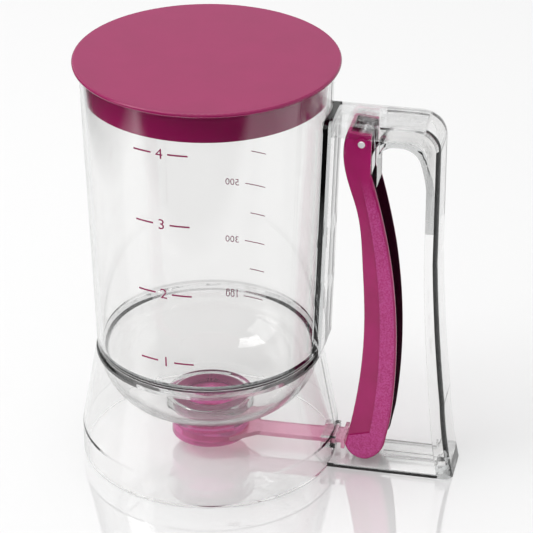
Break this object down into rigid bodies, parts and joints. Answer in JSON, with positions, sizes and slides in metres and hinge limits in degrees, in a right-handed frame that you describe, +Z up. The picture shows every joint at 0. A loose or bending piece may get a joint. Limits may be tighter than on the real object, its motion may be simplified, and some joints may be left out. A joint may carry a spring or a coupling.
{
  "type": "pancake batter dispenser",
  "caption": "Clear hand-held batter dispenser: lidded cup on a flared skirt, D-handle with a sprung squeeze trigger that draws a flat gate off the funnel outlet",
  "frame": {"origin": "on the cup's axis, on the surface that the skirt stands on", "axes": "+X runs from the cup towards the handle, +Z up along the cup's axis, +Y completes a right-handed frame"},
  "size_m": [0.166, 0.1124, 0.185],
  "materials": {
    "clear_plastic": "clear polished moulded plastic",
    "tinted_plastic": "tinted magenta polished plastic",
    "seal_rubber": "soft translucent sealing ring",
    "pin_steel": "drawn steel pin",
    "spring_steel": "bare spring wire"
  },
  "bodies": {
    "frame": {"batter_cup": "clear_plastic", "base_skirt": "clear_plastic", "outlet_seal": "seal_rubber", "nozzle_housing": "tinted_plastic", "gate_guide": "clear_plastic", "handle_frame": "clear_plastic", "handle_liner": "clear_plastic", "trigger_pin": "pin_steel", "return_spring": "spring_steel"},
    "trigger": {"trigger_lever": "tinted_plastic"},
    "gate": {"gate_slide": "tinted_plastic"},
    "lid": {"lid": "tinted_plastic"}
  },
  "joints": [
    {"name": "trigger_squeeze", "type": "hinge", "parent": "frame", "child": "trigger", "pos_m": [0.0672, 0, 0.1564], "axis": [0, -1, 0], "range_deg": [0, 7], "stiffness_Nm_per_rad": 0.6, "springref_deg": -20.05, "deforming": ["return_spring"]},
    {"name": "gate_travel", "type": "slide", "parent": "frame", "child": "gate", "axis": [1, 0, 0], "range_m": [0, 0.0181]},
    {"name": "lid_lift", "type": "slide", "parent": "frame", "child": "lid", "axis": [0, 0, 1], "range_m": [0, 0.04]}
  ],
  "couplings": [
    {"joint": "gate_travel", "follows": "trigger_squeeze", "m_per_rad": 0.1471}
  ]
}
